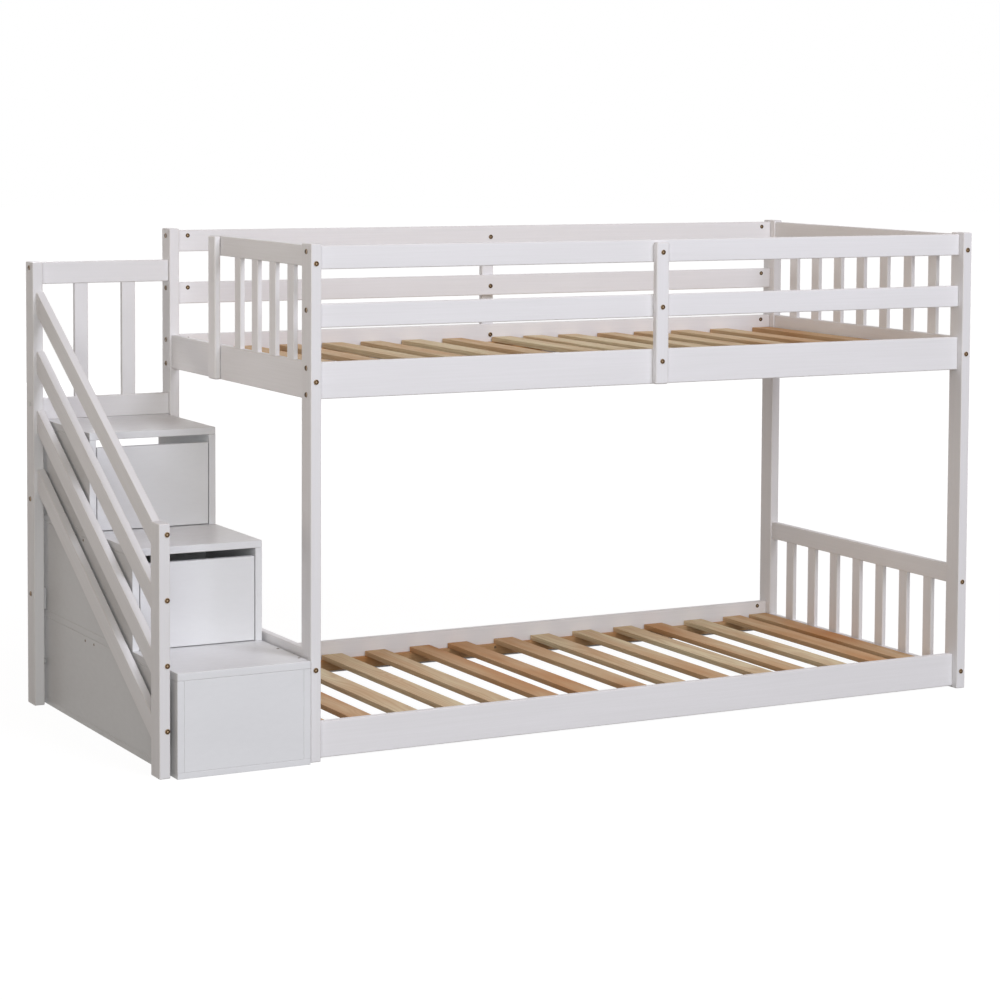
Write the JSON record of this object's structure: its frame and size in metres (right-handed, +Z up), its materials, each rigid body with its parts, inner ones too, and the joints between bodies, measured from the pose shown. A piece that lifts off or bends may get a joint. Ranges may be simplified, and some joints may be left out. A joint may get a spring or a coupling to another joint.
{
  "type": "bunk bed",
  "caption": "Low bunk bed of white painted timber with slatted bases, guard rails and a drawer staircase with slanted handrails at its left end.",
  "frame": {"origin": "on the floor, under the middle of the whole outline", "axes": "+X along the bed away from the staircase, +Y from the front to the back, +Z up"},
  "size_m": [2.372, 1.022, 1.267],
  "materials": {
    "white_timber": "solid pine, sprayed with satin white paint",
    "white_board": "fibreboard, sprayed with satin white lacquer",
    "natural_pine": "planed knotty pine, left bare",
    "bronze_hardware": "antique bronze plating",
    "white_nylon": "moulded white nylon"
  },
  "bodies": {
    "frame": {"back_batten": "white_timber", "barrel_nuts": "bronze_hardware", "batten_bolts": "bronze_hardware", "bottom_step_base": "white_board", "bottom_step_front": "white_board", "bottom_step_sides": "white_board", "bottom_tread": "white_board", "drawer_runners": "natural_pine", "front_batten": "white_timber", "gate_batten": "white_timber", "handrails": "white_timber", "left_end_rail": "white_timber", "left_guard_slats": "white_timber", "left_guard_top_rail": "white_timber", "lower_back_side_rail": "white_timber", "lower_cleats": "natural_pine", "lower_end_bottom_rail": "white_timber", "lower_end_slats": "white_timber", "lower_end_top_rail": "white_timber", "lower_front_side_rail": "white_timber", "lower_left_end_rail": "white_timber", "lower_slats": "natural_pine", "lower_tie_rail": "white_timber", "middle_step_partition": "white_board", "middle_step_sides": "white_board", "middle_tie_rail": "white_timber", "middle_tread": "white_board", "post_back_left": "white_timber", "post_back_right": "white_timber", "post_front_left": "white_timber", "post_front_right": "white_timber", "post_spacers": "white_nylon", "rail_bolts": "bronze_hardware", "right_end_bottom_rail": "white_timber", "right_end_slats": "white_timber", "right_end_top_rail": "white_timber", "stair_front_post": "white_timber", "stair_guard_bottom_rail": "white_timber", "stair_guard_slats": "white_timber", "stair_guard_top_rail": "white_timber", "stair_rear_post": "white_timber", "top_step_sides": "white_board", "top_tread": "white_board", "upper_back_mid_rail": "white_timber", "upper_back_side_rail": "white_timber", "upper_back_top_rail": "white_timber", "upper_cleats": "natural_pine", "upper_front_mid_rail": "white_timber", "upper_front_side_rail": "white_timber", "upper_front_top_rail": "white_timber", "upper_slats": "natural_pine"},
    "middle_drawer": {"middle_drawer_back": "white_board", "middle_drawer_bottom": "white_board", "middle_drawer_front": "white_board", "middle_drawer_sides": "white_board"},
    "upper_drawer": {"upper_drawer_back": "white_board", "upper_drawer_bottom": "white_board", "upper_drawer_front": "white_board", "upper_drawer_sides": "white_board"}
  },
  "joints": [
    {"name": "middle_drawer_slide", "type": "slide", "parent": "frame", "child": "middle_drawer", "axis": [0, -1, 0], "range_m": [0, 0.25]},
    {"name": "upper_drawer_slide", "type": "slide", "parent": "frame", "child": "upper_drawer", "axis": [0, -1, 0], "range_m": [0, 0.25]}
  ]
}
